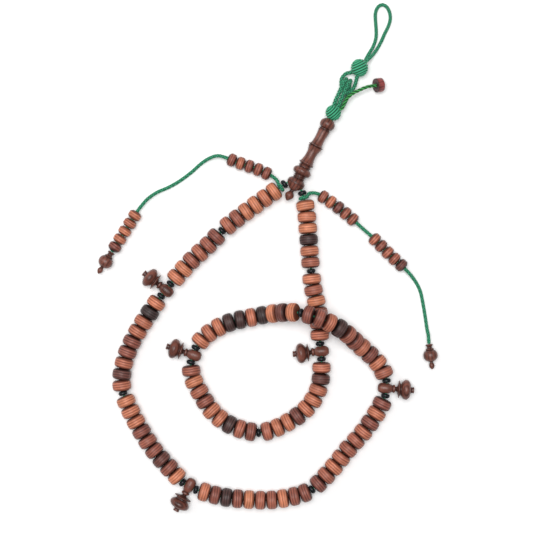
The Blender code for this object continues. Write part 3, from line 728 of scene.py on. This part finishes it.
cordPieces = {}
for side, layout in counters.items():
    station = next(middle for name, middle, _ in plan["eyes"] if name == side)
    eye, ahead = pointAt(strandPath, station), headingAt(strandPath, station)
    rim = strand["stringRadius"] + strand["gap"] + cordRadius
    out = Vector(layout["route"][0]) - eye
    out = (out - ahead * out.dot(ahead)).normalized()
    layout["path"] = smoothPath([eye + out * rim, *layout["route"]])
    across = ahead.cross(out)
    turn = np.linspace(0.3, math.tau - 0.3, 25)
    ring = np.array([eye + (out * math.cos(t) + across * math.sin(t)) * rim for t in turn])
    node = f"counter_cord_{side}"
    cordPieces[side] = [
        keepBraid(f"counter_braid_{side}", layout["path"], node),
        keepBraid(f"counter_eye_{side}", ring, node),
    ]

lowerAt = imamePoint(imame["length"] + 3.2, 0.15)
topAt = Vector(aboveImame(topKnotAt))
knots = {
    "lower": {"at": lowerAt, "radius": 3.0, "yarn": 0.42, "turns": 9, "axis": Vector((-0.66, 0.7, 0.25))},
    "top": {"at": topAt, "radius": 3.4, "yarn": 0.43, "turns": 10, "axis": Vector((-0.42, 0.88, 0.2))},
}


def insideKnot(label, point):
    # the place just under the knot's surface towards the point
    knot = knots[label]
    return knot["at"] + (Vector(point) - knot["at"]).normalized() * (knot["radius"] - 0.2)


hangingLine = [aboveImame(point) for point in hangingRoute]
firstEnd, lastEnd = insideKnot("top", hangingLine[0]), insideKnot("top", hangingLine[-1])
hangingPath = smoothPath([firstEnd, *hangingLine, lastEnd])
hangingLoop = keepBraid("hanging_braid", hangingPath, "hanging_loop")

# the string's two ends run side by side inside the imame, from where its mouths meet to its top
twist = {
    "spacing": 0.8, "pitch": 3.2, "around": 0.24, "yarn": 0.25, "tones": [0.6, 0.35, 0.5],
    "crest": 0.5, "valley": 0.3,
}  # fmt: skip
meeting = {"along": 9.6, "aside": 0.6}
stations = [*np.arange(0, plan["length"], 2.4), plan["length"]]
legs = {}
for side in (1, -1):
    aside = side * meeting["aside"]
    legs[side] = [imamePoint(meeting["along"], aside), imamePoint(imame["length"] - strand["gap"], aside)]
stringLine = np.array([*legs[1][::-1], *(pointAt(strandPath, station) for station in stations), *legs[-1]])
stringPath = evenPoints(stringLine, twist["spacing"])
stringYarn = woundLines(stringPath, 3, lengthsAlong(stringPath)[-1] / twist["pitch"], twist["around"])
stringSpine = evenPoints(stringLine, twist["spacing"] / 2)
stringMesh = yarnMesh(
    "string_twist", stringYarn, twist["yarn"], twist["tones"], stringSpine, twist["crest"], twist["valley"],
)  # fmt: skip
keep("string_twist", stringMesh, braidYarn, "main_string")
print("cords are braided")


# ---- beads, spacers and markers


def mirrored(half):
    # the whole outline of a piece whose two ends are alike
    return [(-place, radius) for place, radius in reversed(half[1:])] + half


def toneOf(digit):
    return (digit - 1) / 8 + dice.uniform(-0.04, 0.04)


def rolled(mesh, low, high):
    # puts a drum between two points, with its grain turned at random
    roll = Matrix.Rotation(dice.uniform(0, math.tau), 4, "Z")
    mesh.transform(facing((low + high) / 2, high - low) @ roll)
    return mesh


beadHalf = [
    (0.0, 4.0), (0.5, 4.0), (0.6, 3.955), (0.7, 3.95), (0.8, 3.98), (1.15, 3.93), (1.5, 3.8), (1.8, 3.58),
    (2.05, 3.28), (2.2, 3.0), (2.28, 2.7), (2.32, 2.4), (2.38, 1.2), (2.34, 0.95),
]  # fmt: skip
beadOutline = mirrored(beadHalf)
# painted shade where the beads meet, partly their darker end grain
beadRims = [
    (-2.1, 1.0), (-1.85, 0.75), (-1.6, 0.3), (-1.35, 0.0), (1.35, 0.0), (1.6, 0.3), (1.85, 0.75), (2.1, 1.0),
]  # fmt: skip
# a tone from 1, the palest, to 9, the darkest, for each bead of each half section
beadTones = {
    "1a": "232254", "1b": "654523", "2a": "394466474", "2b": "233656762", "3a": "3686255266",
    "3b": "6534554636", "4a": "5364658466", "4b": "2729488343", "5a": "524633856", "5b": "533733474",
    "6a": "455253", "6b": "538232",
}  # fmt: skip
for section, index, start in plan["beads"]:
    low, high = pointAt(strandPath, start), pointAt(strandPath, start + strand["beadLength"])
    name = f"bead_{section}_{index + 1:02}"
    digit = int(beadTones[section][index])
    tone = toneOf(digit)
    grown = dice.uniform(0.985, 1.01)
    outline = [(place, radius * grown) for place, radius in beadOutline]
    mesh = rolled(turnedMesh(name, outline, 32, beadRims, True, tone), low, high)
    keep(name, mesh, beadWood, f"beads_{section}")
print("100 beads are threaded")

spacerOutline = [
    (-0.86, 0.9), (-0.93, 1.1), (-0.9, 1.35), (-0.68, 1.68), (-0.3, 1.92), (0.0, 1.95), (0.3, 1.92),
    (0.68, 1.68), (0.9, 1.35), (0.93, 1.1), (0.86, 0.9),
]  # fmt: skip
noRim = [(0, 0.0), (1, 0.0)]
# a spacer beside a marker faces along the marker's chord
for name, middle, side in plan["spacers"]:
    reach = strand["spacerLength"] / 2
    more = strand["markerDrum"] + strand["gap"]
    before = pointAt(strandPath, middle - reach - more * (side < 0))
    ahead = pointAt(strandPath, middle + reach + more * (side > 0)) - before
    mesh = turnedMesh(name, spacerOutline, 16, noRim, True)
    mesh.transform(facing(pointAt(strandPath, middle), ahead))
    node = f"beads_{name.split('_')[1]}a" if name.endswith("mid") else name
    keep(f"{name}_ring", mesh, jet, node)

markerOutline = [
    (-3.5, 0), (-3.5, 0.95), (-3.4, 1.25), (-3.1, 1.65), (-2.6, 1.98), (-2.0, 2.15), (-1.2, 2.24),
    (-0.3, 2.26), (0.6, 2.24), (1.3, 2.12), (2.0, 1.85), (2.5, 1.58), (2.8, 1.42), (2.95, 1.48),
    (3.1, 1.7), (3.45, 1.8), (3.8, 1.7), (3.95, 1.35), (4.1, 1.02), (4.4, 0.92), (4.7, 1.1),
    (4.95, 1.7), (5.2, 2.6), (5.42, 3.5), (5.55, 3.82), (5.68, 3.82), (5.76, 3.5), (5.88, 3.0),
    (6.05, 2.65), (6.3, 2.5), (6.55, 2.55), (6.75, 2.85), (7.1, 3.35), (7.5, 3.8), (8.0, 4.15),
    (8.6, 4.3), (9.2, 4.2), (9.7, 3.9), (10.15, 3.35), (10.5, 2.55), (10.7, 1.75), (10.8, 1.3),
    (11.1, 1.2), (11.5, 1.24), (11.9, 1.34), (12.06, 1.28), (12.1, 1.1), (12.1, 0),
]  # fmt: skip
# painted shade in the marker's necks and grooves
markerRims = [
    (2.3, 0), (2.85, 0.9), (3.3, 0), (3.8, 0.3), (4.1, 1), (4.7, 1), (5.0, 0.5), (5.5, 0), (5.7, 0),
    (5.9, 0.8), (6.3, 0.9), (6.8, 0.5), (7.1, 0), (10.4, 0), (10.8, 1), (11.2, 0.6), (12.0, 0.2),
]  # fmt: skip


stringBore = 1.8


def drill(mesh, start, end, width):
    # cuts a straight hole, with the points in the mesh's own space
    shape = bmesh.new()
    bmesh.ops.create_cone(
        shape, cap_ends=True, segments=16, radius1=width / 2 * mm, radius2=width / 2 * mm,
        depth=(end - start).length * mm,
    )  # fmt: skip
    turn = (end - start).to_track_quat("Z", "Y").to_matrix().to_4x4()
    turn.translation = (start + end) / 2 * mm
    bmesh.ops.transform(shape, matrix=turn, verts=shape.verts)
    bit = bpy.data.meshes.new("bit")
    shape.to_mesh(bit)
    shape.free()
    holders = [bpy.data.objects.new(name, data) for name, data in (("drilled", mesh), ("bit", bit))]
    for holder in holders:
        scene.collection.objects.link(holder)
    cut = holders[0].modifiers.new("hole", "BOOLEAN")
    cut.operation, cut.object, cut.solver = "DIFFERENCE", holders[1], "EXACT"
    made = evaluatedMesh(holders[0])
    for holder in holders:
        bpy.data.objects.remove(holder)
    made.name = mesh.name
    return made


# a marker lies level with its drum on the string and its bulb on the table
for number, (name, middle, _) in enumerate(plan["markers"]):
    reach = strand["markerDrum"] + strand["gap"] + strand["spacerLength"] / 2
    before, after = pointAt(strandPath, middle - reach), pointAt(strandPath, middle + reach)
    ahead = (after - before).normalized()
    level = up.cross(ahead).normalized() * strand["markerSides"][number]
    bulbAt, bulbRadius = strand["markerBulb"]
    pitch = math.asin((bulbRadius - strand["beadWidth"] / 2) / bulbAt)
    axis = level * math.cos(pitch) + up * math.sin(pitch)
    mesh = turnedMesh(name, markerOutline, 40, markerRims, tone=dice.uniform(0.3, 0.7))
    mesh = drill(mesh, Vector((-3, 0, 0)), Vector((3, 0, 0)), stringBore)
    mesh.transform(facing((before + after) / 2, axis, ahead))
    keep(f"{name}_turning", mesh, turnedWood, name)
print("spacers and markers are threaded")


# ---- imame

imameOutline = [
    (0, 0), (0.15, 0.35), (0.5, 0.75), (0.9, 1.1), (1.5, 1.6), (2.1, 1.88), (2.6, 1.94), (3.1, 1.82),
    (3.6, 1.52), (4.0, 1.15), (4.3, 0.88), (4.6, 0.78), (4.9, 0.82), (5.15, 1.1), (5.3, 1.5),
    (5.45, 1.72), (5.7, 1.9), (6.0, 2.2), (6.5, 2.85), (7.0, 3.36), (7.5, 3.7), (7.9, 3.86),
    (8.0, 3.76), (8.12, 3.76), (8.2, 3.93), (8.45, 3.95), (8.55, 3.84), (8.67, 3.84), (8.75, 3.93),
    (9.2, 3.84), (9.6, 3.6), (10.0, 3.2), (10.3, 2.75), (10.5, 2.5), (10.65, 2.36), (10.8, 2.38),
    (10.95, 2.58), (11.1, 2.62), (11.25, 2.55), (11.4, 2.36), (11.6, 2.36), (11.75, 2.55),
    (11.95, 2.58), (12.15, 2.4), (12.3, 2.45), (12.5, 2.85), (12.8, 3.4), (13.2, 3.8), (13.7, 3.97),
    (14.2, 4.0), (14.7, 3.86), (15.1, 3.55), (15.5, 3.0), (15.75, 2.6), (15.95, 2.4), (16.2, 2.42),
    (16.45, 2.7), (16.6, 2.74), (16.8, 2.6), (17.1, 2.45), (17.35, 2.62), (17.6, 3.05), (17.8, 3.3),
    (18.0, 3.3), (18.12, 3.1), (18.3, 2.92), (18.8, 2.72), (19.5, 2.5), (20.4, 2.32), (21.5, 2.22),
    (22.6, 2.2), (23.6, 2.28), (24.5, 2.48), (25.2, 2.76), (25.5, 2.95), (25.75, 3.02), (25.95, 2.9),
    (26.05, 2.55), (26.15, 2.52), (26.25, 2.9), (26.4, 3.28), (26.6, 3.3), (26.75, 3.0), (26.95, 2.68),
    (27.5, 2.48), (28.3, 2.32), (29.4, 2.22), (30.6, 2.2), (31.8, 2.26), (32.8, 2.36), (33.5, 2.46),
    (33.8, 2.58), (34.0, 2.62), (34.2, 2.5), (34.3, 2.28), (34.42, 2.3), (34.55, 2.52), (34.7, 2.54),
    (34.85, 2.2), (34.98, 2.0), (35.1, 2.1), (35.4, 2.55), (35.9, 3.0), (36.5, 3.25), (37.2, 3.32),
    (37.9, 3.18), (38.5, 2.82), (39.0, 2.3), (39.35, 1.7), (39.48, 1.35), (39.5, 0),
]  # fmt: skip
# painted shade in the imame's grooves and necks
imameRims = [
    (0, 0), (3.6, 0), (4.3, 1), (4.9, 1), (5.4, 0.3), (6, 0), (7.85, 0), (8.05, 0.9), (8.3, 0.1), (8.6, 0.9),
    (8.8, 0), (10, 0.2), (10.7, 1), (11.1, 0.1), (11.5, 1), (11.9, 0.1), (12.2, 1), (12.7, 0.2), (15, 0),
    (15.9, 1), (16.5, 0.1), (17.1, 1), (17.7, 0), (18.3, 0.4), (18.7, 0), (25.5, 0), (26.1, 1), (26.5, 0),
    (26.9, 0.6), (27.5, 0), (33.6, 0), (34.35, 1), (34.6, 0.2), (34.95, 1), (35.6, 0), (39.5, 0),
]  # fmt: skip
mesh = turnedMesh("imame", imameOutline, 48, imameRims)
mesh = drill(mesh, Vector((0, 0, meeting["along"] - 0.8)), Vector((0, 0, imame["length"] + 2)), 2.6)
for side in (1, -1):
    mouth = Vector((0, side * imame["mouth"][1] * 1.02, imame["mouth"][0]))
    mesh = drill(mesh, Vector((0, side * meeting["aside"], meeting["along"])), mouth, stringBore)
standing = imamePoint(1) - imamePoint(0)
# the mesh's own y is turned to the imame's left
left = up.cross(standing).normalized()
placed = Matrix((left.cross(standing), left, standing)).transposed().to_4x4()
placed.translation = world(imamePoint(0))
mesh.transform(placed)
keep("imame_turning", mesh, turnedWood, "imame")
print("imame is turned")


# ---- counter beads and pendants

counterBead = {"length": 3.7, "gap": 0.3, "count": 5}  # five beads in each group
counterHalf = [
    (0.0, 2.78), (0.25, 2.8), (0.36, 2.73), (0.46, 2.73), (0.56, 2.79), (0.85, 2.77), (1.05, 2.68),
    (1.2, 2.52), (1.66, 1.98), (1.78, 1.86), (1.83, 1.66), (1.85, 1.25), (1.8, 1.1),
]  # fmt: skip
counterOutline = mirrored(counterHalf)
# painted shade at the counter beads' ends, where they meet
counterRims = [(-1.85, 1.0), (-1.2, 0.7), (-0.9, 0.0), (0.9, 0.0), (1.2, 0.7), (1.85, 1.0)]
pendantOutline = [
    (0, 0), (0, 1.25), (0.08, 1.5), (0.25, 1.6), (0.5, 1.54), (0.8, 1.25), (1.1, 1.08), (1.4, 1.1),
    (1.7, 1.25), (1.95, 1.62), (2.15, 1.82), (2.35, 1.8), (2.5, 1.66), (2.62, 1.9), (2.9, 2.3),
    (3.4, 2.72), (4.0, 3.0), (4.7, 3.1), (5.4, 3.06), (6.0, 2.86), (6.6, 2.45), (7.05, 1.92),
    (7.35, 1.35), (7.55, 0.9), (7.75, 0.68), (8.0, 0.7), (8.3, 0.92), (8.7, 1.12), (9.2, 1.2),
    (9.7, 1.12), (10.2, 0.85), (10.6, 0.5), (10.85, 0.2), (10.9, 0),
]  # fmt: skip
# painted shade in the pendant's necks
pendantRims = [
    (0, 0.2), (0.8, 0.6), (1.2, 1), (1.7, 0.6), (2.1, 0), (2.5, 1), (3.0, 0), (7.0, 0), (7.8, 1), (8.4, 0.2),
    (10.9, 0),
]  # fmt: skip
tinyOutline = [(-0.5, 0.9), (-0.55, 1.1), (-0.3, 1.4), (0, 1.5), (0.3, 1.4), (0.55, 1.1), (0.5, 0.9)]
tinyFromEnd = 0.8
for side, layout in counters.items():
    path = layout["path"]
    total = lengthsAlong(path)[-1]
    pitch = counterBead["length"] + counterBead["gap"]
    number = 0
    for start in layout["groups"]:
        start = start if start > 0 else total + start  # a group below zero counts from the cord's end
        for index in range(counterBead["count"]):
            low, high = pointAt(path, start + pitch * index), pointAt(path, start + pitch * (index + 1))
            digit = int(layout["tones"][number])
            number += 1
            name = f"counter_bead_{side}_{number:02}"
            mesh = turnedMesh(name, counterOutline, 28, counterRims, True, toneOf(digit))
            mesh = rolled(mesh, low, high)
            cordPieces[side].append(keep(f"{name}_drum", mesh, beadWood, name))
    # the pendant lies in line with the last stretch of its cord
    end = Vector(layout["route"][-1])
    ahead = ((end - Vector(layout["route"][-6])) * Vector((1, 1, 0))).normalized()
    mesh = turnedMesh(f"pendant_{side}", pendantOutline, 36, pendantRims)
    mesh.transform(facing(end + ahead * strand["gap"], ahead))
    node = f"pendant_{side}"
    cordPieces[side].append(keep(f"{node}_turning", mesh, turnedWood, node))
    # a tiny black bead stands for the shade on the cord at the left pendant's collar
    if side == "left":
        tiny = turnedMesh("tiny_stop", tinyOutline, 16, noRim, True)
        place = total - tinyFromEnd
        tiny.transform(facing(pointAt(path, place), headingAt(path, place, 0.5)))
        cordPieces[side].append(keep("tiny_stop", tiny, jet, "counter_cord_left"))
print("counter beads and pendants hang on their cords")


# ---- knots, loops and tail


def wovenBall(centre, radius, axis, count):
    # rings of yarn side by side, closed at both poles
    z = axis.normalized()
    x = z.cross(Vector((0.3, 0.2, 1))).normalized()
    y = z.cross(x)
    lines = []
    for turn in range(count):
        latitude = math.pi * (turn + 0.5) / count
        height, ringRadius = -radius * math.cos(latitude), radius * math.sin(latitude)
        steps = max(12, int(14 * ringRadius))
        angles = np.linspace(0, math.tau, steps, endpoint=False)
        ring = [centre + z * height + (x * math.cos(t) + y * math.sin(t)) * ringRadius for t in angles]
        lines.append(np.array(ring))
    return lines


for label, knot in knots.items():
    centre, radius, yarn = knot["at"], knot["radius"], knot["yarn"]
    lines = wovenBall(centre, radius, knot["axis"], knot["turns"])
    tones = [0.9 - 0.35 * (index % 2) for index in range(len(lines))]
    mesh = yarnMesh(
        f"{label}_knot_winding", lines, yarn, tones, [centre], radius + yarn * 0.8, radius + yarn * 0.1,
        sides=8, cyclic=True,
    )  # fmt: skip
    ball = bmesh.new()
    bmesh.ops.create_uvsphere(ball, u_segments=24, v_segments=16, radius=(radius - 0.1) * mm)
    bmesh.ops.translate(ball, vec=world(centre), verts=ball.verts)
    heart = bpy.data.meshes.new("heart")
    ball.to_mesh(heart)
    ball.free()
    # the knot's heart is painted in full shade
    setAttribute(heart, "depth", np.full(len(heart.polygons), 1.0), domain="FACE")
    keep(f"{label}_knot_heart", heart, braidYarn, f"{label}_knot")
    keep(f"{label}_knot_winding", mesh, braidYarn, f"{label}_knot")

pairPath = smoothPath([aboveImame(point) for point in pairRoute])
start, third = Vector(pairPath[0]), Vector(pairPath[len(pairPath) // 3])
loops = {"pairApart": 0.95, "pairSize": 1.18, "linkSize": 1.1}
aside = Vector(((third - start).y, -(third - start).x, 0)).normalized() * loops["pairApart"]
for label, sign in (("outer", -1), ("inner", 1)):
    keepBraid(f"pair_braid_{label}", pairPath + np.array(aside) * sign, "lower_knot", loops["pairSize"])
linkPath = smoothPath([aboveImame(point) for point in linkRoute])
keepBraid("link_braid", linkPath, "top_knot", loops["linkSize"])

disc = {
    "at": (21.0, 14.9), "tilt": math.radians(23), "travel": 2.6, "length": 3.0, "radius": 3.0, "low": 1.1,
}  # fmt: skip
rest = disc["radius"] * math.cos(disc["tilt"]) + disc["low"] * math.sin(disc["tilt"])
discAt = Vector(aboveImame((*disc["at"], rest)))
level = ((discAt - Vector(aboveImame(tailRoute[-1]))) * Vector((1, 1, 0))).normalized()
discAxis = level * math.cos(disc["tilt"]) - up * math.sin(disc["tilt"])
discOutline = [
    (-1.4, 1.05), (-1.47, 1.2), (-1.42, 1.45), (-1.38, 2.2), (-1.46, 2.6), (-1.5, 2.82), (-1.46, 2.95),
    (-1.36, 3.0), (0, 3.0), (1.3, 3.0), (1.44, 2.92), (1.5, 2.75), (1.44, 2.3), (1.4, 1.5), (1.4, 1.05),
]  # fmt: skip
# painted shade on the disc's tilted face
discRims = [(-1.5, 1.15), (-1.42, 1.15), (-1.3, 0), (1.3, 0), (1.42, 0.6)]
mesh = turnedMesh("disc", discOutline, 40, discRims, True)
mesh.transform(facing(discAt, discAxis))
keep("disc_drum", mesh, redWood, "disc_bead")
before = discAt - discAxis * (disc["length"] / 2 + disc["travel"])
tailLine = [aboveImame(point) for point in tailRoute]
tailPath = smoothPath([insideKnot("lower", tailLine[0]), *tailLine, before])
tailPath = evenPoints(np.array([*tailPath, discAt + discAxis * disc["length"] / 2]), 0.16)
tailTwist = {
    "pitch": 5.7, "around": 0.38, "yarn": 0.38, "tones": [0.95, 0.5, 0.75], "crest": 0.77, "valley": 0.62,
}  # fmt: skip
tailLines = woundLines(tailPath, 3, lengthsAlong(tailPath)[-1] / tailTwist["pitch"], tailTwist["around"])
tail = yarnMesh(
    "tail_twist", tailLines, tailTwist["yarn"], tailTwist["tones"], tailPath, tailTwist["crest"],
    tailTwist["valley"], sides=8,
)  # fmt: skip
keep("tail_twist", tail, tailYarn, "tail_cord")
print("knots are tied")

bpy.context.view_layer.update()
